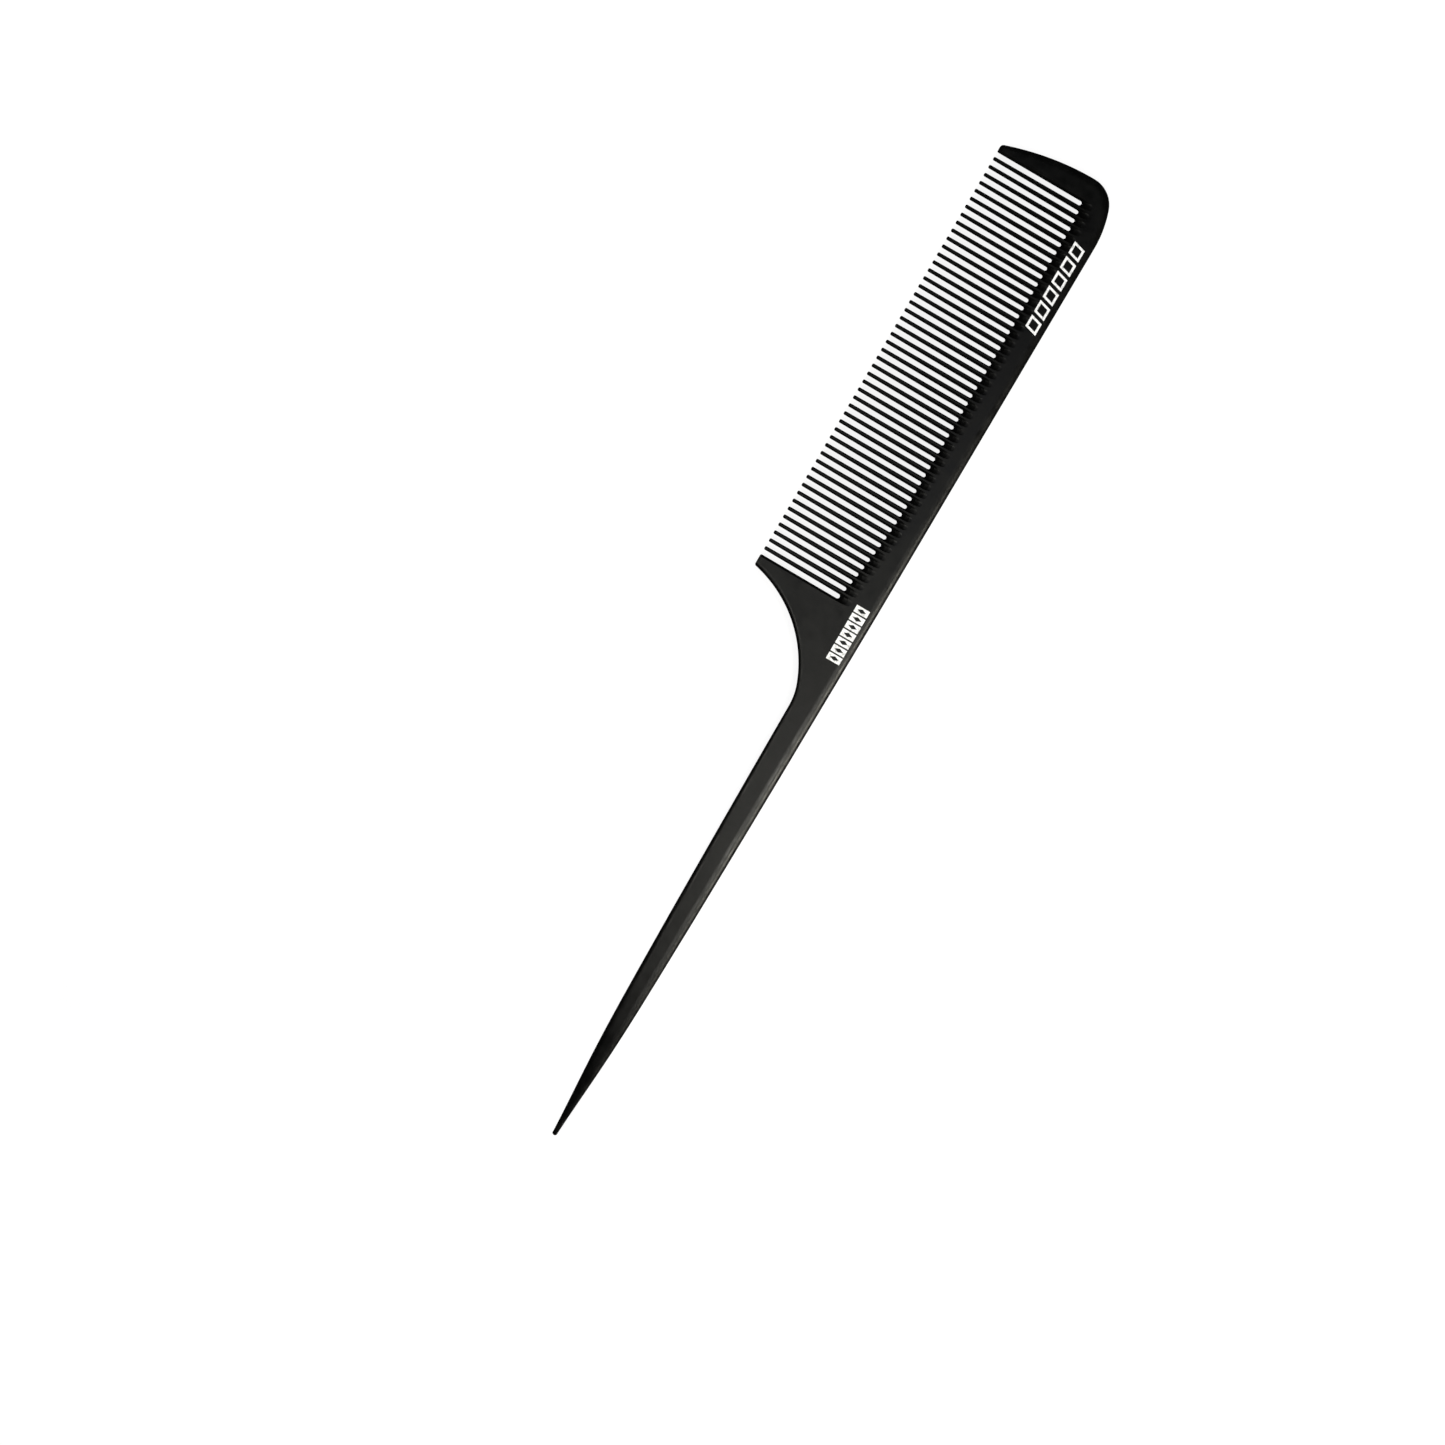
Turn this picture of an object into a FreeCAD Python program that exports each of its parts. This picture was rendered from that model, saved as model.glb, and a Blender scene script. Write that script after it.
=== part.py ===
import FreeCAD, Part
import math
import os
import Sketcher
from FreeCAD import Vector

# Rat tail comb. One plastic moulding, built as five regions that meet face to face, and two ink prints.
# Modelling axes, mm: X runs along the comb from the tail's tip, Y = 0 is the tail's axis with the teeth
# towards +Y, and the comb lies flat on Z = 0. Each sub-part's Placement moves it to the delivery origin,
# which is the middle of the comb's footprint.

doc = FreeCAD.newDocument("rat_tail_comb")

# ---------------------------------------------------------------- driving sizes

SIZES = {
    # whole comb
    "overall_length": 230.0,
    "body_thick": 3.8,
    "edge_round": 1.88,
    "tip_line": 24.25,
    # tail, heel and back edge
    "tail_length": 102.4,
    "tail_half": 3.1,
    "back_at_field": 3.32,
    "back_bend": 217.4,
    "back_depth": 3.6,
    "corner_sweep_radius": 24.9,
    "corner_tight_radius": 6.25,
    "heel_flare_radius": 13.75,
    "heel_sweep_radius": 27.4,
    "heel_blend_end": 22.8,
    "heel_tip_start": 124.37,
    "heel_edge_round": 0.9,
    "heel_tip_round": 0.4,
    "nose_radius": 0.55,
    "nose_centre": 0.55,
    # tooth field
    "tooth_count": 50,
    "pitch": 1.93,
    "first_tooth": 128.5,
    "tooth_root_width": 1.11,
    "tooth_tip_width": 0.82,
    "crest_root_width": 0.30,
    "crest_tip_width": 0.22,
    "tooth_end_flat": 0.24,
    "tip_thick": 1.5,
    "tip_edge_round": 0.5,
    "taper_start": 6.3,
    "band_start": 3.0,
    "gap_end_height": 2.8,
    "root_margin": 0.6,
    "heel_rise": 2.65,
    "heel_rise_run": 27.0,
    "guard_rise": 0.7,
    "guard_rise_run": 6.5,
    "ramp_length": 2.3,
    "heel_ramp_extra": 0.4,
    "face_angle": 70.0,
    "cut_angle": 80.0,
    "ramp_squareness": 0.8,
    "mouth_flare": 0.35,
    "heel_gap_half": 0.585,
    "heel_bevel": 0.6,
    "guard_gap_half": 0.515,
    "guard_bevel": 0.4,
    # end guard
    "guard_base": 5.0,
    "guard_sweep_start": 3.75,
    "guard_sweep_radius": 56.0,
    "guard_tip_round": 0.85,
    # ink prints
    "ink_film": 0.04,
    "ink_root": 0.2,
    "upper_start": 195.2,
    "upper_low": -2.1,
    "upper_high": 0.7,
    "upper_count": 6,
    "upper_pitch": 3.55,
    "upper_width": 2.75,
    "upper_lean": 0.8,
    "upper_stroke": 0.50,
    "lower_start": 115.0,
    "lower_low": -1.65,
    "lower_high": 1.5,
    "lower_count": 7,
    "lower_pitch": 1.89,
    "lower_width": 1.56,
    "lower_window_width": 0.92,
    "lower_window_height": 2.1,
}

# tail stations at equal steps from the nose to the heel: half width, thickness, and the round on the
# lower and on the upper edges
TAIL_STATIONS = [
    (0.52, 1.04, 0.50, 0.50),
    (1.15, 2.06, 1.00, 0.98),
    (1.78, 2.88, 1.41, 1.18),
    (2.16, 3.27, 1.61, 1.20),
    (2.38, 3.46, 1.70, 1.20),
    (2.56, 3.57, 1.76, 1.18),
    (2.70, 3.66, 1.81, 1.14),
    (2.82, 3.72, 1.84, 1.08),
    (2.93, 3.76, 1.86, 1.02),
    (3.02, 3.79, 1.87, 0.96),
    (3.10, 3.80, 1.88, 0.90),
]

# round on the end guard's outer edges, at equal steps from its base to the tip line
GUARD_ROUNDS = [1.88, 1.80, 1.68, 1.50, 1.26, 0.95]

# points across a gap's closed end, and how far the cutting solids stand out of the plastic, mm
BOWL_STEPS = 12
CUTTER_MARGIN = 0.6

sheet = doc.addObject("Spreadsheet::Sheet", "dims")
next_row = 1


def add_size(alias, value):
    """One named number in the sheet."""
    global next_row
    sheet.set("A%d" % next_row, alias)
    sheet.set("B%d" % next_row, str(value))
    sheet.setAlias("B%d" % next_row, alias)
    next_row += 1


for alias, value in SIZES.items():
    add_size(alias, value)
for number, station in enumerate(TAIL_STATIONS):
    for word, value in zip(("half", "thick", "low_round", "high_round"), station):
        add_size("tail_%s_%d" % (word, number), value)
for number, value in enumerate(GUARD_ROUNDS):
    add_size("guard_round_%d" % number, value)
doc.recompute()


def size(alias):
    """The sheet's present value of one size."""
    return float(sheet.get(alias))


# expressions that several sub-parts share
FIELD_START = "(dims.first_tooth - dims.pitch / 2)"
FIELD_END = "(dims.first_tooth + (dims.tooth_count - 0.5) * dims.pitch)"
ROOT_LINE = "(dims.gap_end_height + dims.root_margin)"
field_start = size("first_tooth") - size("pitch") / 2
field_end = field_start + size("tooth_count") * size("pitch")
root_line = size("gap_end_height") + size("root_margin")
back_at_field = size("back_at_field")
back_slope = (size("back_depth") - back_at_field) / (size("back_bend") - field_start)
mid_plane = size("body_thick") / 2

# ---------------------------------------------------------------- helpers


def origin_item(body, role):
    """One of the body's own origin planes or axes."""
    return next(item for item in body.Origin.OriginFeatures if item.Role == role)


def new_body(name):
    return doc.addObject("PartDesign::Body", name)


def new_sketch(body, name, role, offset_expression=None):
    """A sketch on one of the body's own origin planes, moved along the plane's normal."""
    sketch = body.newObject("Sketcher::SketchObject", name)
    sketch.AttachmentSupport = [(origin_item(body, role), "")]
    sketch.MapMode = "FlatFace"
    if offset_expression:
        sketch.setExpression("AttachmentOffset.Base.z", offset_expression)
    return sketch


def constrain(sketch, kind, *where):
    return sketch.addConstraint(Sketcher.Constraint(kind, *where))


def bind(sketch, kind, where, value, expression):
    """A driving dimension whose value comes from the sheet."""
    index = sketch.addConstraint(Sketcher.Constraint(kind, *where, value))
    sketch.setExpression("Constraints[%d]" % index, expression)


def pin_point(sketch, geo, end, point, expressions):
    """Fix one vertex by its two distances from the sketch's origin."""
    for kind, value, expression in zip(("DistanceX", "DistanceY"), point, expressions):
        if expression:
            bind(sketch, kind, (-1, 1, geo, end), value, expression)


def line(sketch, start, end):
    return sketch.addGeometry(Part.LineSegment(Vector(*start, 0), Vector(*end, 0)))


def arc_by_angles(sketch, centre, radius, first, last):
    circle = Part.Circle(Vector(*centre, 0), Vector(0, 0, 1), radius)
    return sketch.addGeometry(Part.ArcOfCircle(circle, math.radians(first), math.radians(last)))


def edges_at(feature, wanted):
    """Names of the feature's edges whose middle point passes the test."""
    names = []
    for number, edge in enumerate(feature.Shape.Edges, 1):
        middle = edge.valueAt((edge.FirstParameter + edge.LastParameter) / 2)
        if wanted(middle, edge):
            names.append("Edge%d" % number)
    return names


def on_a_face(point):
    """True on the flat top or the flat underside."""
    return min(abs(point.z), abs(point.z - size("body_thick"))) < 1e-6


def add_fillet(body, base, name, edge_names, expression):
    fillet = body.newObject("PartDesign::Fillet", name)
    fillet.Base = (base, edge_names)
    fillet.setExpression("Radius", expression)
    doc.recompute()
    return fillet


def rounded_section(body, name, role, offset, sides, thick, rounds):
    """A box section with rounded corners, centred on the comb's mid-plane.

    sides holds (value, expression) for the low and the high side, thick is (value, expression), and
    rounds holds (value, expression) for the low side's corners and the high side's; a low side with
    None has square corners.
    """
    sketch = new_sketch(body, name, role, offset)
    (low, low_text), (high, high_text) = sides
    bottom, top = mid_plane - thick[0] / 2, mid_plane + thick[0] / 2
    low_round = rounds[0][0] if rounds[0] else 0.0
    high_round = rounds[1][0]
    floor = line(sketch, (low + low_round, bottom), (high - high_round, bottom))
    right_low = arc_by_angles(sketch, (high - high_round, bottom + high_round), high_round, 270, 360)
    right = line(sketch, (high, bottom + high_round), (high, top - high_round))
    right_high = arc_by_angles(sketch, (high - high_round, top - high_round), high_round, 0, 90)
    roof = line(sketch, (high - high_round, top), (low + low_round, top))
    left = line(sketch, (low, top - low_round), (low, bottom + low_round))
    constrain(sketch, "Tangent", floor, 2, right_low, 1)
    constrain(sketch, "Tangent", right_low, 2, right, 1)
    constrain(sketch, "Tangent", right, 2, right_high, 1)
    constrain(sketch, "Tangent", right_high, 2, roof, 1)
    if rounds[0]:
        left_high = arc_by_angles(sketch, (low + low_round, top - low_round), low_round, 90, 180)
        left_low = arc_by_angles(sketch, (low + low_round, bottom + low_round), low_round, 180, 270)
        constrain(sketch, "Tangent", roof, 2, left_high, 1)
        constrain(sketch, "Tangent", left_high, 2, left, 1)
        constrain(sketch, "Tangent", left, 2, left_low, 1)
        constrain(sketch, "Tangent", left_low, 2, floor, 1)
        constrain(sketch, "Equal", left_high, left_low)
        bind(sketch, "Radius", (left_low,), low_round, rounds[0][1])
    else:
        constrain(sketch, "Coincident", roof, 2, left, 1)
        constrain(sketch, "Coincident", left, 2, floor, 1)
        constrain(sketch, "Vertical", left)
    constrain(sketch, "Horizontal", floor)
    constrain(sketch, "Equal", right_low, right_high)
    bind(sketch, "Radius", (right_low,), high_round, rounds[1][1])
    bind(sketch, "DistanceX", (-1, 1, left, 1), low, low_text)
    bind(sketch, "DistanceX", (-1, 1, right, 1), high, high_text)
    bind(sketch, "DistanceY", (-1, 1, floor, 1), bottom, "(dims.body_thick - %s) / 2" % thick[1])
    bind(sketch, "DistanceY", (-1, 1, roof, 1), top, "(dims.body_thick + %s) / 2" % thick[1])
    return sketch


def loft_through(body, name, sketches):
    loft = body.newObject("PartDesign::AdditiveLoft", name)
    loft.Profile = sketches[0]
    loft.Sections = [(sketch, [""]) for sketch in sketches[1:]]
    doc.recompute()
    return loft


def pad_sketch(body, name, sketch, expression):
    pad = body.newObject("PartDesign::Pad", name)
    pad.Profile = sketch
    pad.setExpression("Length", expression)
    doc.recompute()
    return pad


def boolean(kind, label, base, tool):
    """A named Part boolean of two objects."""
    result = doc.addObject(kind, label)
    result.Base = base
    result.Tool = tool
    doc.recompute()
    return result


# ---------------------------------------------------------------- tail


def build_tail():
    """A bar with round edges that tapers in width and in thickness to a blunt round nose."""
    body = new_body("tail")
    sketches = []
    steps = len(TAIL_STATIONS) - 1
    for number, (half, thick, low_round, high_round) in enumerate(TAIL_STATIONS):
        cell = {word: "dims.tail_%s_%d" % (word, number)
                for word in ("half", "thick", "low_round", "high_round")}
        along = "dims.nose_centre + (dims.tail_length - dims.nose_centre) * %d / %d" % (number, steps)
        sketches.append(rounded_section(
            body, "tail_section_%d" % number, "YZ_Plane", along,
            ((-half, "-" + cell["half"]), (half, cell["half"])), (thick, cell["thick"]),
            ((low_round, cell["low_round"]), (high_round, cell["high_round"]))))
    loft_through(body, "tail_bar", sketches)
    nose = body.newObject("PartDesign::AdditiveSphere", "tail_nose")
    nose.setExpression("Radius", "dims.nose_radius")
    nose.AttachmentSupport = [(origin_item(body, "XY_Plane"), "")]
    nose.MapMode = "FlatFace"
    nose.setExpression("AttachmentOffset.Base.x", "dims.nose_centre")
    nose.setExpression("AttachmentOffset.Base.z", "dims.body_thick / 2")
    doc.recompute()
    return body


# ---------------------------------------------------------------- heel


def build_heel_blank():
    """The flared shoulder, still with its full width at the first gap."""
    body = new_body("heel_blank")
    sketch = new_sketch(body, "heel_outline", "XY_Plane")
    start, half, top = size("tail_length"), size("tail_half"), size("tip_line")
    flare, sweep = size("heel_flare_radius"), size("heel_sweep_radius")
    tip, blend = size("heel_tip_start"), size("heel_blend_end")
    turn, lean = 20.4, 75.6
    joint = (start + flare * math.sin(math.radians(turn)),
             half + flare * (1 - math.cos(math.radians(turn))))
    centre = (joint[0] - sweep * math.sin(math.radians(turn)),
              joint[1] + sweep * math.cos(math.radians(turn)))
    blend_point = (centre[0] + sweep * math.sin(math.radians(lean)),
                   centre[1] - sweep * math.cos(math.radians(lean)))
    back = line(sketch, (start, -half), (field_start, -back_at_field))
    inner = line(sketch, (field_start, -back_at_field), (field_start, top))
    flat = line(sketch, (field_start, top), (tip, top))
    straight = line(sketch, (tip, top), blend_point)
    big = arc_by_angles(sketch, centre, sweep, 270 + turn, 270 + lean)
    small = arc_by_angles(sketch, (start, half + flare), flare, 270, 270 + turn)
    butt = line(sketch, (start, half), (start, -half))
    constrain(sketch, "Coincident", back, 2, inner, 1)
    constrain(sketch, "Coincident", inner, 2, flat, 1)
    constrain(sketch, "Coincident", flat, 2, straight, 1)
    constrain(sketch, "Tangent", straight, 2, big, 2)
    constrain(sketch, "Tangent", big, 1, small, 2)
    constrain(sketch, "Coincident", small, 1, butt, 1)
    constrain(sketch, "Coincident", butt, 2, back, 1)
    constrain(sketch, "Vertical", inner)
    constrain(sketch, "Horizontal", flat)
    constrain(sketch, "Vertical", butt)
    constrain(sketch, "Vertical", small, 1, small, 3)
    bind(sketch, "Radius", (big,), sweep, "dims.heel_sweep_radius")
    bind(sketch, "Radius", (small,), flare, "dims.heel_flare_radius")
    pin_point(sketch, back, 1, (start, -half), ("dims.tail_length", "-dims.tail_half"))
    pin_point(sketch, back, 2, (field_start, -back_at_field), (FIELD_START, "-dims.back_at_field"))
    pin_point(sketch, flat, 2, (tip, top), ("dims.heel_tip_start", "dims.tip_line"))
    pin_point(sketch, butt, 1, (start, half), (None, "dims.tail_half"))
    pin_point(sketch, straight, 2, (0, blend), (None, "dims.heel_blend_end"))
    pad = pad_sketch(body, "heel_plate", sketch, "dims.body_thick")
    back_edges = edges_at(pad, lambda p, e: on_a_face(p) and p.y < -1 and abs(p.x - start) > 1
                          and abs(p.x - field_start) > 1)
    rounded_back = add_fillet(body, pad, "heel_back_round", back_edges, "dims.edge_round")
    front_edges = edges_at(rounded_back, lambda p, e: on_a_face(p) and p.y > half - 0.2
                           and start + 0.5 < p.x < tip and p.y < top - 0.01)
    rounded_front = add_fillet(body, rounded_back, "heel_front_round", front_edges, "dims.heel_edge_round")
    tip_edges = edges_at(rounded_front, lambda p, e: abs(p.y - top) < 1e-6 and p.x < field_start - 0.01)
    add_fillet(body, rounded_front, "heel_tip_round_over", tip_edges, "dims.heel_tip_round")
    return body


# ---------------------------------------------------------------- spine


def build_spine_blank():
    """The back bar with its far corner, before the gaps are cut."""
    body = new_body("spine_blank")
    sketch = new_sketch(body, "spine_outline", "XY_Plane")
    end, base = size("overall_length"), size("guard_base")
    bend, depth = size("back_bend"), size("back_depth")
    sweep, tight = size("corner_sweep_radius"), size("corner_tight_radius")
    lean = math.degrees(math.atan(back_slope))
    # turn of the wide corner arc, from the x distance left for both arcs
    room = end - bend
    turn = 19.7
    for _ in range(40):
        reach = (sweep * (math.sin(math.radians(turn)) + math.sin(math.radians(lean)))
                 + tight * (1 - math.sin(math.radians(turn))))
        turn += math.degrees((room - reach) / ((sweep - tight) * math.cos(math.radians(turn))))
    wide_centre = (bend + sweep * math.sin(math.radians(lean)), -depth + sweep * math.cos(math.radians(lean)))
    tight_centre = (wide_centre[0] + (sweep - tight) * math.sin(math.radians(turn)),
                    wide_centre[1] - (sweep - tight) * math.cos(math.radians(turn)))
    back = line(sketch, (field_start, -back_at_field), (bend, -depth))
    wide = arc_by_angles(sketch, wide_centre, sweep, 270 - lean, 270 + turn)
    close = arc_by_angles(sketch, tight_centre, tight, 270 + turn, 360)
    end_line = line(sketch, (end, tight_centre[1]), (end, base))
    shelf = line(sketch, (end, base), (field_end, base))
    run, rise = size("guard_rise_run"), size("guard_rise")
    step = line(sketch, (field_end, base), (field_end, root_line + rise))
    guard_radius = (run ** 2 + rise ** 2) / (2 * rise)
    guard_turn = math.degrees(math.asin(run / guard_radius))
    guard_arc = arc_by_angles(sketch, (field_end - run, root_line + guard_radius), guard_radius,
                              270, 270 + guard_turn)
    heel_run, heel_rise = size("heel_rise_run"), size("heel_rise")
    heel_radius = (heel_run ** 2 + heel_rise ** 2) / (2 * heel_rise)
    heel_turn = math.degrees(math.asin(heel_run / heel_radius))
    root = line(sketch, (field_end - run, root_line), (field_start + heel_run, root_line))
    heel_arc = arc_by_angles(sketch, (field_start + heel_run, root_line + heel_radius), heel_radius,
                             270 - heel_turn, 270)
    butt = line(sketch, (field_start, root_line + heel_rise), (field_start, -back_at_field))
    constrain(sketch, "Tangent", back, 2, wide, 1)
    constrain(sketch, "Tangent", wide, 2, close, 1)
    constrain(sketch, "Tangent", close, 2, end_line, 1)
    constrain(sketch, "Coincident", end_line, 2, shelf, 1)
    constrain(sketch, "Coincident", shelf, 2, step, 1)
    constrain(sketch, "Coincident", step, 2, guard_arc, 2)
    constrain(sketch, "Tangent", guard_arc, 1, root, 1)
    constrain(sketch, "Tangent", root, 2, heel_arc, 2)
    constrain(sketch, "Coincident", heel_arc, 1, butt, 1)
    constrain(sketch, "Coincident", butt, 2, back, 1)
    constrain(sketch, "Vertical", end_line)
    constrain(sketch, "Horizontal", shelf)
    constrain(sketch, "Vertical", step)
    constrain(sketch, "Horizontal", root)
    constrain(sketch, "Vertical", butt)
    bind(sketch, "Radius", (wide,), sweep, "dims.corner_sweep_radius")
    bind(sketch, "Radius", (close,), tight, "dims.corner_tight_radius")
    pin_point(sketch, back, 1, (field_start, -back_at_field), (FIELD_START, "-dims.back_at_field"))
    pin_point(sketch, back, 2, (bend, -depth), ("dims.back_bend", "-dims.back_depth"))
    pin_point(sketch, end_line, 2, (end, base), ("dims.overall_length", "dims.guard_base"))
    pin_point(sketch, step, 2, (field_end, root_line + rise),
              (FIELD_END, "%s + dims.guard_rise" % ROOT_LINE))
    pin_point(sketch, root, 1, (field_end - run, root_line),
              ("%s - dims.guard_rise_run" % FIELD_END, ROOT_LINE))
    pin_point(sketch, heel_arc, 1, (field_start, root_line + heel_rise),
              (None, "%s + dims.heel_rise" % ROOT_LINE))
    pin_point(sketch, root, 2, (field_start + heel_run, 0), ("%s + dims.heel_rise_run" % FIELD_START, None))
    pad = pad_sketch(body, "spine_plate", sketch, "dims.body_thick")
    outer = edges_at(pad, lambda p, e: on_a_face(p)
                     and ((p.y < -back_at_field + 0.1 and p.x > field_start + 1)
                          or (p.x > max(bend, field_end + 3) and p.y < base - 0.1)
                          or (p.x > end - 0.1 and p.y < base - 0.01)))
    add_fillet(body, pad, "spine_outer_round", outer, "dims.edge_round")
    return body


# ---------------------------------------------------------------- end guard


def build_guard_blank():
    """The thick last tooth, its outer side swept inwards towards the tip."""
    body = new_body("guard_blank")
    sketches = []
    steps = len(GUARD_ROUNDS) - 1
    for number, outer_round in enumerate(GUARD_ROUNDS):
        height = size("guard_base") + (size("tip_line") - size("guard_base")) * number / steps
        height_text = "(dims.guard_base + (dims.tip_line - dims.guard_base) * %d / %d)" % (number, steps)
        sweep_in = (height - size("guard_sweep_start")) ** 2 / (2 * size("guard_sweep_radius"))
        side = size("overall_length") - sweep_in
        side_text = ("dims.overall_length - (%s - dims.guard_sweep_start) ^ 2 / (2 * dims.guard_sweep_radius)"
                     % height_text)
        sketches.append(rounded_section(
            body, "guard_section_%d" % number, "XZ_Plane", "-" + height_text,
            ((field_end, FIELD_END), (side, side_text)), (size("body_thick"), "dims.body_thick"),
            (None, (outer_round, "dims.guard_round_%d" % number))))
    # sections run along the plane's normal, from the tip line down to the base
    loft = loft_through(body, "guard_bar", sketches[::-1])
    top = size("tip_line")
    rim = edges_at(loft, lambda p, e: abs(p.y - top) < 1e-6 and p.x > field_end + 0.01)
    add_fillet(body, loft, "guard_tip_round_over", rim, "dims.guard_tip_round")
    return body


# ---------------------------------------------------------------- teeth and gaps


def build_tooth_band():
    """The wedge of plastic that the gaps divide into teeth: full thickness at the root, thin at the tips."""
    body = new_body("tooth_band")
    sketch = new_sketch(body, "band_section", "YZ_Plane", FIELD_START)
    low, taper, top = size("band_start"), size("taper_start"), size("tip_line")
    thick, thin = size("body_thick"), size("tip_thick")
    corners = [(low, 0), (taper, 0), (top, (thick - thin) / 2), (top, (thick + thin) / 2),
               (taper, thick), (low, thick)]
    names = [("dims.band_start", None), ("dims.taper_start", None),
             ("dims.tip_line", "(dims.body_thick - dims.tip_thick) / 2"),
             ("dims.tip_line", "(dims.body_thick + dims.tip_thick) / 2"),
             ("dims.taper_start", "dims.body_thick"), (None, "dims.body_thick")]
    sides = [line(sketch, corners[i], corners[(i + 1) % 6]) for i in range(6)]
    for i in range(6):
        constrain(sketch, "Coincident", sides[i], 2, sides[(i + 1) % 6], 1)
    constrain(sketch, "Vertical", sides[5])
    constrain(sketch, "PointOnObject", sides[0], 1, -1)
    constrain(sketch, "PointOnObject", sides[1], 1, -1)
    for i, (along, up) in enumerate(names):
        if along:
            bind(sketch, "DistanceX", (-1, 1, sides[i], 1), corners[i][0], along)
        if up:
            bind(sketch, "DistanceY", (-1, 1, sides[i], 1), corners[i][1], up)
    pad = pad_sketch(body, "band_wedge", sketch, "dims.tooth_count * dims.pitch")
    rim = edges_at(pad, lambda p, e: abs(p.y - top) < 1e-6 and field_start + 1 < p.x < field_end - 1)
    add_fillet(body, pad, "band_tip_round", rim, "dims.tip_edge_round")
    return body


def gap_end(along):
    """Height of a gap's closed end: level along the spine, rising on an arc at both guards."""
    height = size("gap_end_height")
    for run, rise, distance in ((size("heel_rise_run"), size("heel_rise"), along - field_start),
                                (size("guard_rise_run"), size("guard_rise"), field_end - along)):
        if distance < run:
            radius = (run ** 2 + rise ** 2) / (2 * rise)
            height += radius - math.sqrt(radius ** 2 - (run - distance) ** 2)
    return height


def half_thickness(height, full):
    """Half the plastic's thickness at a height: a guard keeps the full thickness, a tooth tapers."""
    share = (height - size("taper_start")) / (size("tip_line") - size("taper_start"))
    if full or share < 0:
        return mid_plane
    return mid_plane + (size("tip_thick") / 2 - mid_plane) * min(share, 1)


def roll_over(angle):
    """How far a cut edge has rolled over: 0 on the mid-plane and 1 where it meets a face."""
    return (1 - math.cos(math.radians(angle))) / (1 - math.cos(math.radians(size("face_angle"))))


def gap_flank(along, side, halves, angle, full, flat):
    """Points up one flank of a gap: root, start of the taper, flare, edge of the mouth, outside."""
    root_height, root_half, tip_half = halves
    taper, top = size("taper_start"), size("tip_line")
    flare = top - size("mouth_flare")
    taper_half = root_half + (tip_half - root_half) * (taper - root_height) / (flare - root_height)
    open_half = max((size("pitch") - size("tooth_end_flat")) / 2, tip_half + 0.01)
    level = math.sin(math.radians(angle)) / math.sin(math.radians(size("face_angle")))
    places = [(root_half, root_height), (taper_half, taper), (tip_half, flare),
              (0.75 * tip_half + 0.25 * open_half, flare + 0.7 * size("mouth_flare")),
              (open_half, top + 0.02), (open_half, top + 0.5)]
    return [Vector(along + side * half, height,
                   mid_plane + level * half_thickness(height, full) if flat is None else flat)
            for half, height in places]


def gap_wire(gap, angle, flat=None):
    """One closed outline of a gap, for one angle of the roll-over, or pressed flat at one height.

    The flanks open evenly from the mid-plane to the faces, and the closed end rolls over into a ramp
    whose outline is rounder on the mid-plane and squarer on the faces.
    """
    end = gap["end"]
    level = math.sin(math.radians(abs(angle))) / math.sin(math.radians(size("face_angle")))
    power = 2 / (2 + size("ramp_squareness") * level)
    centre_height = end + (gap["waist"][0][0] + gap["waist"][1][0]) / 2
    left, right = (gap_flank(gap["along"], side, (centre_height, waist[0] + (face[0] - waist[0]) * level,
                                                  waist[1] + (face[1] - waist[1]) * level),
                             angle, full, flat)
                   for side, waist, face, full in zip((-1, 1), gap["waist"], gap["face"], gap["full"]))
    radius = (right[0].x - left[0].x) / 2
    depth = centre_height - end + gap["ramp"] * roll_over(angle)
    turns = [math.pi * step / BOWL_STEPS for step in range(BOWL_STEPS + 1)]
    bowl = Part.BSplineCurve()
    bowl.interpolate([Vector(left[0].x + radius * (1 - math.copysign(abs(across) ** power, across)),
                             centre_height - depth * up ** power, left[0].z)
                      for across, up in ((math.cos(turn), math.sin(turn)) for turn in turns)])
    edges = [bowl.toShape(), Part.makeLine(right[0], right[1]), Part.makeLine(right[1], right[2]),
             Part.Arc(right[2], right[3], right[4]).toShape(), Part.makeLine(right[4], right[5]),
             Part.makeLine(right[5], left[5]), Part.makeLine(left[5], left[4]),
             Part.Arc(left[4], left[3], left[2]).toShape(), Part.makeLine(left[2], left[1]),
             Part.makeLine(left[1], left[0])]
    return Part.Wire(edges)


def gap_shape(number):
    """The sizes of one gap: half widths at root and mouth for each side, on the mid-plane and the faces."""
    along = field_start + number * size("pitch")
    half_pitch = size("pitch") / 2
    waist = (half_pitch - size("tooth_root_width") / 2, half_pitch - size("tooth_tip_width") / 2)
    face = (half_pitch - size("crest_root_width") / 2, half_pitch - size("crest_tip_width") / 2)
    gap = {"along": along, "end": gap_end(along), "waist": [waist, waist], "face": [face, face],
           "full": [False, False]}
    for last, side, word in ((0, 0, "heel"), (size("tooth_count"), 1, "guard")):
        if number == last:
            half, bevel = size(word + "_gap_half"), size(word + "_bevel")
            gap["waist"][side] = (half, half)
            gap["face"][side] = (half + bevel, half + bevel)
            gap["full"][side] = True
    rise = (gap["end"] - size("gap_end_height")) / size("heel_rise")
    gap["ramp"] = size("ramp_length") + size("heel_ramp_extra") * rise
    return gap


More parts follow.
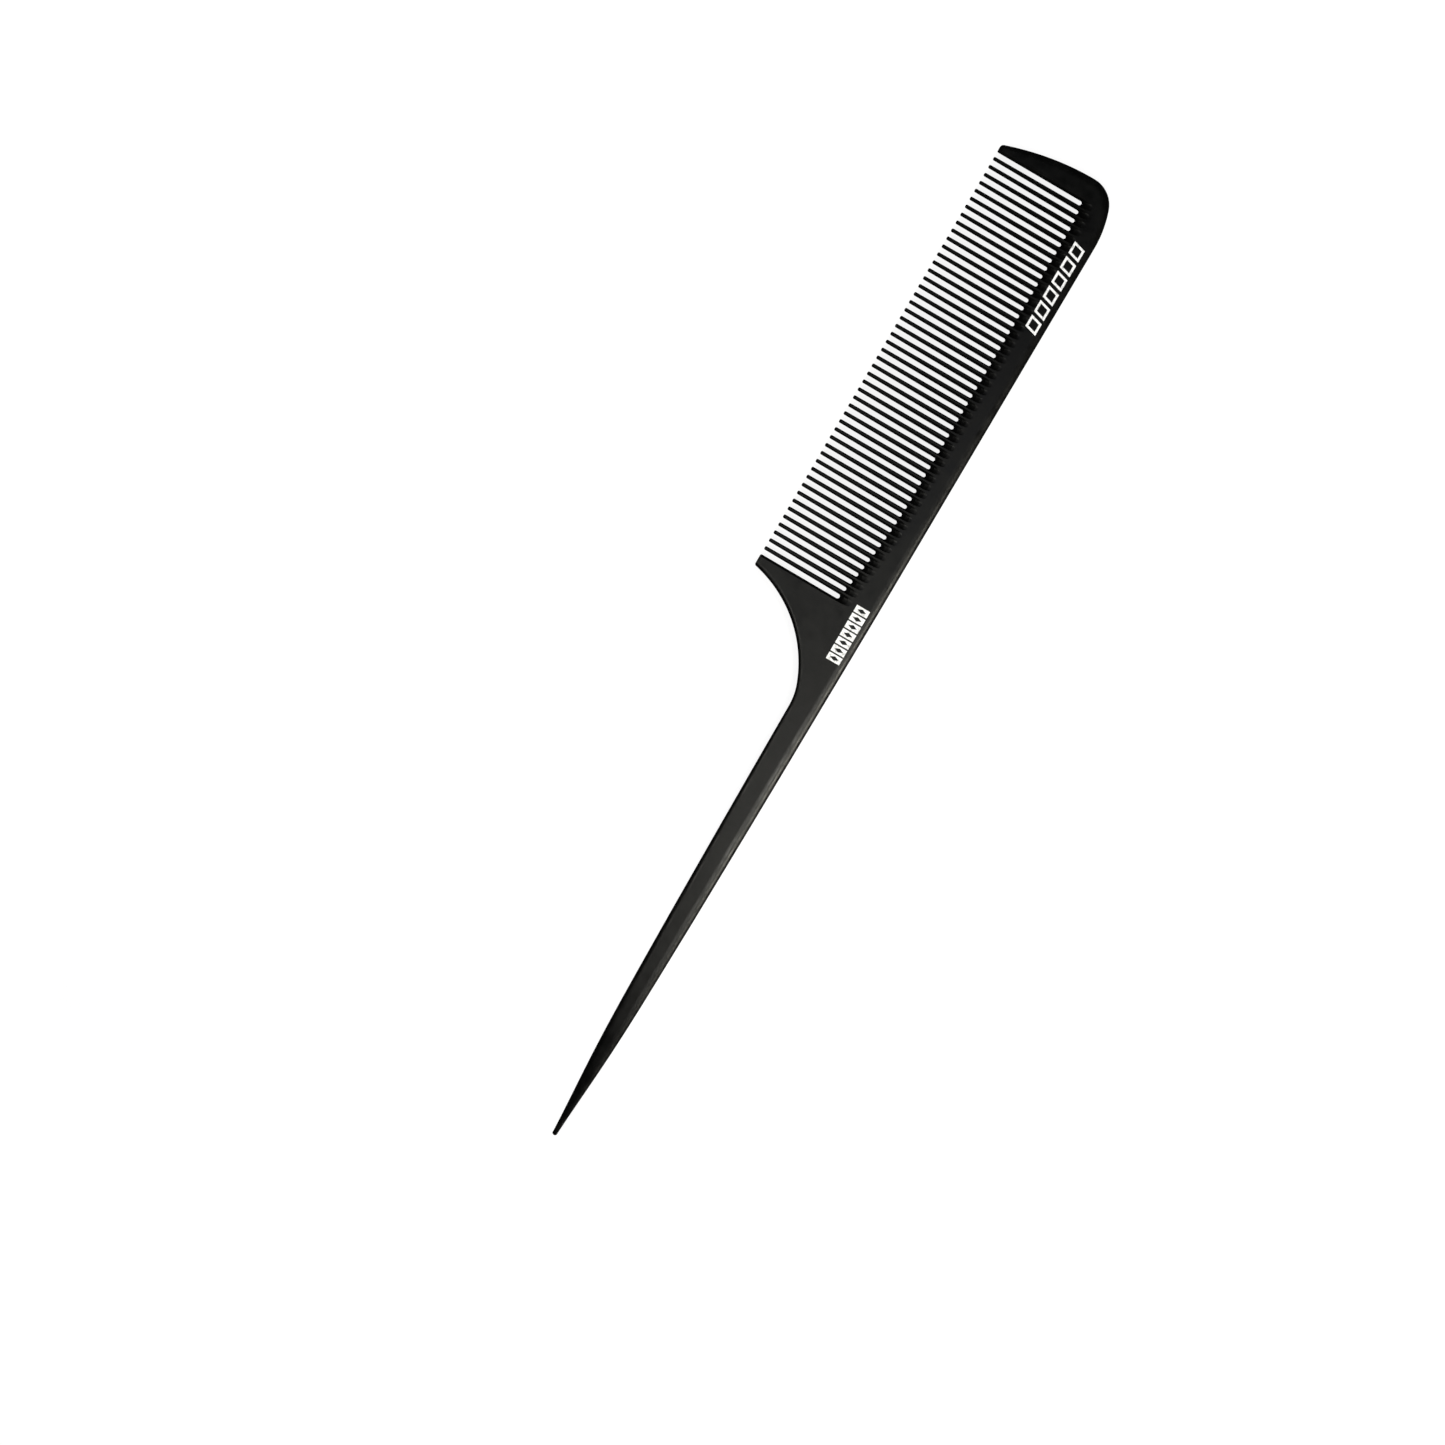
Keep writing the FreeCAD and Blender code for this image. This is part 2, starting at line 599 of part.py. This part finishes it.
def gap_solid(number, steps):
    """The space between two neighbours: narrow on the mid-plane, rolled over to both faces."""
    gap = gap_shape(number)
    angles = [size("cut_angle") * (2 * step / steps - 1) for step in range(steps + 1)]
    wires = [gap_wire(gap, angle) for angle in angles]
    under = gap_wire(gap, angles[0], -CUTTER_MARGIN)
    over = gap_wire(gap, angles[-1], size("body_thick") + CUTTER_MARGIN)
    walls = Part.makeLoft([under] + wires + [over], False, True)
    shell = Part.Shell(walls.Faces + [Part.Face(under), Part.Face(over)])
    shell.sewShape()
    solid = Part.Solid(shell)
    if solid.Volume < 0:
        solid.reverse()
    return solid


def build_gaps(label, numbers, steps):
    """Some of the gaps in one compound. Their ends follow the arched root line, so no pattern fits them."""
    gaps = doc.addObject("Part::Feature", label)
    gaps.Shape = Part.makeCompound([gap_solid(number, steps) for number in numbers])
    return gaps


# ---------------------------------------------------------------- ink prints


def slanted_frame(inset, inset_text):
    """Corners and their expressions for the leaning four-sided figure, moved in by one inset."""
    start, low, high = size("upper_start"), size("upper_low"), size("upper_high")
    width, lean = size("upper_width"), size("upper_lean")
    slope = lean / (high - low)
    slope_text = "(dims.upper_lean / (dims.upper_high - dims.upper_low))"
    corners, texts = [], []
    for right, up in ((0, 0), (1, 0), (1, 1), (0, 1)):
        across_sign, up_sign = (-1 if right else 1), (-1 if up else 1)
        corners.append((start + right * width + up * lean + across_sign * inset + up_sign * inset * slope,
                        (high if up else low) + up_sign * inset))
        inset_along = " + %d * %s + %d * %s * " % (across_sign, inset_text, up_sign, inset_text)
        across_text = ("dims.upper_start + %d * dims.upper_width + %d * dims.upper_lean" % (right, up)
                       + inset_along + slope_text)
        up_text = "%s + %d * %s" % ("dims.upper_high" if up else "dims.upper_low", up_sign, inset_text)
        texts.append((across_text, up_text))
    return corners, texts


def build_upper_ink():
    """Leaning open frames in a row, the large decorative print near the end guard."""
    body = new_body("upper_ink")
    sketch = new_sketch(body, "frame_outline", "XY_Plane", "dims.body_thick - dims.ink_root")
    draw_polygon(sketch, *slanted_frame(0.0, "0"))
    draw_polygon(sketch, *slanted_frame(size("upper_stroke"), "dims.upper_stroke"))
    add_ink_row(body, sketch, "upper")
    return body


def build_lower_ink():
    """Small plates with a diamond window each, the dense decorative print at the heel."""
    body = new_body("lower_ink")
    sketch = new_sketch(body, "plate_outline", "XY_Plane", "dims.body_thick - dims.ink_root")
    start, low, high, width = (size("lower_" + word) for word in ("start", "low", "high", "width"))
    far_text = "dims.lower_start + dims.lower_width"
    draw_polygon(sketch, [(start, low), (start + width, low), (start + width, high), (start, high)],
                 [("dims.lower_start", "dims.lower_low"), (far_text, "dims.lower_low"),
                  (far_text, "dims.lower_high"), ("dims.lower_start", "dims.lower_high")])
    across, up = start + width / 2, (low + high) / 2
    half_width, half_height = size("lower_window_width") / 2, size("lower_window_height") / 2
    across_text = "dims.lower_start + dims.lower_width / 2"
    up_text = "(dims.lower_low + dims.lower_high) / 2"
    draw_polygon(sketch, [(across - half_width, up), (across, up - half_height),
                          (across + half_width, up), (across, up + half_height)],
                 [(across_text + " - dims.lower_window_width / 2", up_text),
                  (across_text, up_text + " - dims.lower_window_height / 2"),
                  (across_text + " + dims.lower_window_width / 2", up_text),
                  (across_text, up_text + " + dims.lower_window_height / 2")])
    add_ink_row(body, sketch, "lower")
    return body


def draw_polygon(sketch, corners, texts):
    count = len(corners)
    sides = [line(sketch, corners[i], corners[(i + 1) % count]) for i in range(count)]
    for i in range(count):
        constrain(sketch, "Coincident", sides[i], 2, sides[(i + 1) % count], 1)
    for side, corner, text in zip(sides, corners, texts):
        pin_point(sketch, side, 1, corner, text)


def add_ink_row(body, sketch, prefix):
    """Pad one figure and repeat it along the comb."""
    pad = pad_sketch(body, prefix + "_figure", sketch, "dims.ink_root + dims.ink_film")
    row = body.newObject("PartDesign::LinearPattern", prefix + "_row")
    row.Originals = [pad]
    row.Direction = (origin_item(body, "X_Axis"), [""])
    row.setExpression("Occurrences", "dims.%s_count" % prefix)
    row.setExpression("Length", "(dims.%s_count - 1) * dims.%s_pitch" % (prefix, prefix))
    body.Tip = row
    doc.recompute()


# ---------------------------------------------------------------- assembly

tail = build_tail()
heel_blank = build_heel_blank()
spine_blank = build_spine_blank()
guard_blank = build_guard_blank()
tooth_band = build_tooth_band()
gap_count = int(size("tooth_count")) + 1
heel_gap = build_gaps("heel_gap_tool", [0], 8)
ramp_gaps = build_gaps("ramp_gap_tools", range(gap_count), 8)
guard_gap = build_gaps("guard_gap_tool", [gap_count - 1], 8)
tooth_gaps = build_gaps("tooth_gap_tools", range(gap_count), 2)
upper_ink = build_upper_ink()
lower_ink = build_lower_ink()

heel_guard = boolean("Part::Cut", "heel_guard", heel_blank, heel_gap)
spine = boolean("Part::Cut", "spine", spine_blank, ramp_gaps)
end_guard = boolean("Part::Cut", "end_guard", guard_blank, guard_gap)
field = boolean("Part::Cut", "tooth_field", tooth_band, spine_blank)
teeth = boolean("Part::Cut", "teeth", field, tooth_gaps)
print_upper = boolean("Part::Cut", "print_upper", upper_ink, spine_blank)
lower_on_heel = boolean("Part::Cut", "lower_over_heel", lower_ink, heel_blank)
print_lower = boolean("Part::Cut", "print_lower", lower_on_heel, spine_blank)

nodes = [tail, heel_guard, spine, teeth, end_guard, print_upper, print_lower]
for node in nodes:
    node.setExpression("Placement.Base.x", "-dims.overall_length / 2")
    node.setExpression("Placement.Base.y", "(dims.back_depth - dims.tip_line) / 2")
doc.recompute()

# ---------------------------------------------------------------- checks and export

for item in doc.Objects:
    if any(word in item.State for word in ("Invalid", "Error")):
        raise RuntimeError("%s did not rebuild: %s" % (item.Name, item.State))
for node in nodes:
    if node.Shape.isNull() or not node.Shape.isValid():
        raise RuntimeError("%s has a bad shape" % node.Label)
if len(teeth.Shape.Solids) != int(size("tooth_count")):
    raise RuntimeError("expected %d teeth, found %d" % (size("tooth_count"), len(teeth.Shape.Solids)))
for node in (tail, heel_guard, spine, end_guard):
    if len(node.Shape.Solids) != 1:
        raise RuntimeError("%s has %d solids" % (node.Label, len(node.Shape.Solids)))

for number in range(gap_count):
    gap = gap_shape(number)
    ramp_place = Vector(gap["along"], gap["end"] - gap["ramp"] / 2, size("body_thick") - 0.1)
    for probe in (ramp_place, ramp_place + Vector(0, 0, 0.2 - size("body_thick")),
                  Vector(gap["along"], gap["end"] + 0.1, mid_plane)):
        if spine.Shape.isInside(spine.Placement.multVec(probe), 1e-4, True):
            raise RuntimeError("gap %d is not cut through the spine" % number)

os.makedirs("parts", exist_ok=True)
for node in nodes:
    node.Shape.exportStep("parts/%s.step" % node.Label)
    box = node.Shape.BoundBox
    print("%-12s %3d solids  x %8.2f %8.2f  y %7.2f %7.2f  z %5.2f %5.2f  volume %8.1f" % (
        node.Label, len(node.Shape.Solids), box.XMin, box.XMax, box.YMin, box.YMax, box.ZMin, box.ZMax,
        node.Shape.Volume))
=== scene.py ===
import math

import bpy
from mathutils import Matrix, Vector


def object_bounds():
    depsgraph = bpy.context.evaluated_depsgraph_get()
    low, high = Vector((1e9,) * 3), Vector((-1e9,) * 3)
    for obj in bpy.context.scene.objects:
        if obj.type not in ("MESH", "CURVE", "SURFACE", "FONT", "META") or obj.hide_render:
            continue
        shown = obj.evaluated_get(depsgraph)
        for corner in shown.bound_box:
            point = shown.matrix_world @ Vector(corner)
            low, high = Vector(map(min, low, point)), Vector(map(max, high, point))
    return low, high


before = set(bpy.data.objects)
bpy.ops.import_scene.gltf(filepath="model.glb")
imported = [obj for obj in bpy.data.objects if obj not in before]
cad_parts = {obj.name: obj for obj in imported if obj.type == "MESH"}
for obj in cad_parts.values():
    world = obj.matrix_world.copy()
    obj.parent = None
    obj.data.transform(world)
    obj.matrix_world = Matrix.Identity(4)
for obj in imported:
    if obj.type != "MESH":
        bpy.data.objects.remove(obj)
cad_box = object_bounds()

MM = 0.001
BLACK_NODES = ("tail", "heel_guard", "spine", "teeth", "end_guard")
INK_NODES = ("print_upper", "print_lower")

# ---------------------------------------------------------------- node helpers


def new_material(name):
    material = bpy.data.materials.new(name)
    material.use_nodes = True
    material.node_tree.nodes.clear()
    return material, material.node_tree


def add(tree, kind, **values):
    node = tree.nodes.new(kind)
    for key, value in values.items():
        setattr(node, key, value)
    return node


def feed(tree, node, **inputs):
    """Set or link a node's inputs; an underscore in a name stands for a space."""
    for word, value in inputs.items():
        socket = node.inputs[word.replace("_", " ")]
        if isinstance(value, bpy.types.NodeSocket):
            tree.links.new(value, socket)
        else:
            socket.default_value = value
    return node


def noise(tree, vector, scale, detail, roughness):
    node = add(tree, "ShaderNodeTexNoise")
    feed(tree, node, Vector=vector, Scale=scale, Detail=detail, Roughness=roughness)
    return node.outputs["Fac"]


def ramp(tree, value, stops):
    """A ramp of two stops, each a position and a colour."""
    node = feed(tree, add(tree, "ShaderNodeValToRGB"), Fac=value)
    for element, (position, colour) in zip(node.color_ramp.elements, stops):
        element.position = position
        element.color = (*colour, 1)
    return node.outputs["Color"]


def maths(tree, operation, *operands):
    node = add(tree, "ShaderNodeMath", operation=operation)
    for socket, value in zip(node.inputs, operands):
        if isinstance(value, bpy.types.NodeSocket):
            tree.links.new(value, socket)
        else:
            socket.default_value = value
    return node.outputs[0]


def bumped(tree, height, strength, depth):
    """The surface normal over a relief of the given depth in metres."""
    node = add(tree, "ShaderNodeBump")
    feed(tree, node, Strength=strength, Distance=depth, Height=height)
    return node.outputs["Normal"]


def finished(material, kind, shader_output, **inputs):
    """Close a material with one shader, and hand the material back."""
    tree = material.node_tree
    shader = feed(tree, add(tree, kind), **inputs)
    feed(tree, add(tree, "ShaderNodeOutputMaterial"), Surface=shader.outputs[shader_output])
    return material


# ---------------------------------------------------------------- materials


def moulded_plastic():
    """Satin black plastic: fine moulded grain, soft mottling, hairline scuffs."""
    material, tree = new_material("carbon_plastic")
    place = add(tree, "ShaderNodeTexCoord").outputs["Object"]
    grain = noise(tree, place, 5200.0, 2.0, 0.6)
    mottle = noise(tree, place, 420.0, 5.0, 0.62)
    cloud = noise(tree, place, 60.0, 4.0, 0.6)

    # scuffs are a noise stretched along one slanted direction
    stretched = add(tree, "ShaderNodeMapping")
    feed(tree, stretched, Vector=place, Scale=(1400, 90, 1400), Rotation=(0, 0, math.radians(35)))
    scuffs = noise(tree, stretched.outputs["Vector"], 1.0, 3.0, 0.7)
    scuff_mask = ramp(tree, scuffs, [(0.60, (0.0, 0.0, 0.0)), (0.72, (1.0, 1.0, 1.0))])

    colour = ramp(tree, mottle, [(0.30, (0.0010, 0.0010, 0.0010)), (0.72, (0.0022, 0.0022, 0.0021))])
    rough = maths(tree, "ADD", maths(tree, "MULTIPLY_ADD", cloud, 0.16, 0.30),
                  maths(tree, "MULTIPLY_ADD", mottle, 0.55, -0.235))
    rough = maths(tree, "ADD", rough, maths(tree, "MULTIPLY", scuff_mask, 0.05))
    height = maths(tree, "ADD", maths(tree, "MULTIPLY", grain, 0.5),
                   maths(tree, "MULTIPLY", mottle, 0.8))
    return finished(material, "ShaderNodeBsdfPrincipled", "BSDF", IOR=1.5, Base_Color=colour,
                    Roughness=rough, Normal=bumped(tree, height, 0.35, 0.02 * MM))


def printed_ink():
    """Matt white pad-printed ink, a little uneven, so that it turns greyer in small patches."""
    material, tree = new_material("white_ink")
    place = add(tree, "ShaderNodeTexCoord").outputs["Object"]
    cover = noise(tree, place, 1500.0, 3.0, 0.6)
    fine = noise(tree, place, 6000.0, 2.0, 0.6)
    colour = ramp(tree, cover, [(0.30, (0.45, 0.45, 0.44)), (0.50, (0.90, 0.90, 0.89))])
    return finished(material, "ShaderNodeBsdfPrincipled", "BSDF", Base_Color=colour,
                    Roughness=maths(tree, "MULTIPLY_ADD", cover, 0.2, 0.45),
                    Normal=bumped(tree, fine, 0.25, 0.01 * MM))


def pale_floor():
    """Matt floor with a glow of its own, so that it stays near white under the small lights."""
    material, _ = new_material("pale_floor")
    return finished(material, "ShaderNodeBsdfPrincipled", "BSDF", Base_Color=(0.2, 0.2, 0.2, 1),
                    Roughness=0.9, Specular_IOR_Level=0.1, Emission_Color=(1, 1, 1, 1),
                    Emission_Strength=0.87)


def pale_backdrop():
    material, _ = new_material("pale_backdrop")
    return finished(material, "ShaderNodeEmission", "Emission", Strength=0.96)


def black_card():
    material, _ = new_material("black_card")
    return finished(material, "ShaderNodeBsdfDiffuse", "BSDF", Color=(0.002, 0.002, 0.002, 1))


def assign(nodes, material):
    for node in nodes:
        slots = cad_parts[node].data.materials
        if len(slots) == 0:
            slots.append(material)
        for index in range(len(slots)):
            slots[index] = material


assign(BLACK_NODES, moulded_plastic())
assign(INK_NODES, printed_ink())

# ---------------------------------------------------------------- floor and backdrop


def add_object(name, data):
    thing = bpy.data.objects.new(name, data)
    bpy.context.scene.collection.objects.link(thing)
    return thing


def add_panel(name, corners, material):
    """A flat four-cornered piece of the studio."""
    mesh = bpy.data.meshes.new(name)
    mesh.from_pydata(corners, [], [(0, 1, 2, 3)])
    mesh.materials.append(material)
    return add_object(name, mesh)


FLOOR_HALF = 3.0
FLOOR_GAP = 0.02 * MM
floor = add_panel("floor", [(-FLOOR_HALF, -FLOOR_HALF, 0), (FLOOR_HALF, -FLOOR_HALF, 0),
                            (FLOOR_HALF, FLOOR_HALF, 0), (-FLOOR_HALF, FLOOR_HALF, 0)],
                  pale_floor())
floor.location.z = cad_box[0].z - FLOOR_GAP
floor.visible_glossy = False

# a pale dome closes the view behind low angles; it lights and mirrors nothing
bpy.ops.mesh.primitive_uv_sphere_add(segments=48, ring_count=24, radius=8.0)
dome = bpy.context.object
dome.name = "backdrop"
dome.data.materials.append(pale_backdrop())
for switch in ("visible_diffuse", "visible_glossy", "visible_shadow", "visible_transmission"):
    setattr(dome, switch, False)

# ---------------------------------------------------------------- camera

# straight down on the flat comb, turned so that the comb stands diagonally in the frame
FRAME_WIDTH = 302.7 * MM
LENS = 120.0
SENSOR = 36.0
ROLL = math.radians(90 - 30.438)
AIM = Vector((-0.02261, 0.00296, 0.0019))

camera_data = bpy.data.cameras.new("camera")
camera_data.lens = LENS
camera_data.sensor_width = SENSOR
camera_data.clip_start = 0.01
camera_data.clip_end = 20.0
camera = add_object("camera", camera_data)
camera.location = AIM + Vector((0, 0, FRAME_WIDTH * LENS / SENSOR))
camera.rotation_euler = (0, 0, -ROLL)
bpy.context.scene.camera = camera

# ---------------------------------------------------------------- light

NEUTRAL = (1.0, 1.0, 1.0)
COOL = (0.96, 1.0, 1.06)
WARM = (1.0, 0.985, 0.91)
WARMER = (1.04, 1.0, 0.87)


def soft_light(name, place, target, size, radiance, tint, mirrored=True):
    """A softbox of a given size and brightness. One that isn't mirrored lights only matt surfaces."""
    data = bpy.data.lights.new(name, "AREA")
    data.shape = "RECTANGLE"
    data.size, data.size_y = size
    data.color = tint
    data.energy = radiance * math.pi * data.size * data.size_y
    lamp = add_object(name, data)
    lamp.location = place
    aim = Vector(target) - Vector(place)
    lamp.rotation_euler = aim.to_track_quat("-Z", "Y").to_euler()
    lamp.visible_camera = False
    lamp.visible_glossy = mirrored
    return lamp


# Five small boxes close to the comb, each aimed at the line y = BACK_LINE straight across from it.
# side_low draws the bright line on the back edge. The others give the face its sheen, strongest over
# the tail's wide end and fading towards both ends.
BACK_LINE = -0.010
SMALL_LIGHTS = (
    ("side_low", (-0.020, -0.1555, 0.0363), (0.105, 0.045), 9.4, WARMER),
    ("side_high", (-0.035, -0.0895, 0.1272), (0.062, 0.082), 5.9, WARM),
    ("far_high", (-0.039, 0.0604, 0.1324), (0.062, 0.062), 2.8, WARM),
    ("left_top", (-0.036, -0.010, 0.150), (0.080, 0.050), 0.72, WARM),
    ("right_top", (0.060, -0.010, 0.150), (0.060, 0.150), 0.36, COOL),
)
for name, place, size, radiance, tint in SMALL_LIGHTS:
    soft_light(name, place, (place[0], BACK_LINE, 0.0), size, radiance, tint)

# a black card hung beside the boxes keeps the tail's tip in the dark
CARD_PLACE = -0.075
CARD_LOW, CARD_HIGH, CARD_HALF = 0.050, 0.150, 0.110
card = add_panel("light_card", [(CARD_PLACE, -CARD_HALF, CARD_LOW), (CARD_PLACE, CARD_HALF, CARD_LOW),
                                (CARD_PLACE, CARD_HALF, CARD_HIGH), (CARD_PLACE, -CARD_HALF, CARD_HIGH)],
                 black_card())
card.visible_camera = False
card.visible_diffuse = False

# two large fills, on opposite sides, for the floor and the ink
FILL_SIZE = (1.4, 1.4)
FILL_RADIANCE = 4.3
for name, place in (("fill_left", (-1.1, 0.5, 1.6)), ("fill_right", (1.1, -0.5, 1.6))):
    soft_light(name, place, (0, 0, 0), FILL_SIZE, FILL_RADIANCE, NEUTRAL, mirrored=False)

WORLD_STRENGTH = 0.010
world = bpy.data.worlds.new("studio")
world.use_nodes = True
background = world.node_tree.nodes["Background"]
feed(world.node_tree, background, Color=(1, 1, 1, 1), Strength=WORLD_STRENGTH)
bpy.context.scene.world = world
bpy.context.scene.view_settings.view_transform = "Standard"
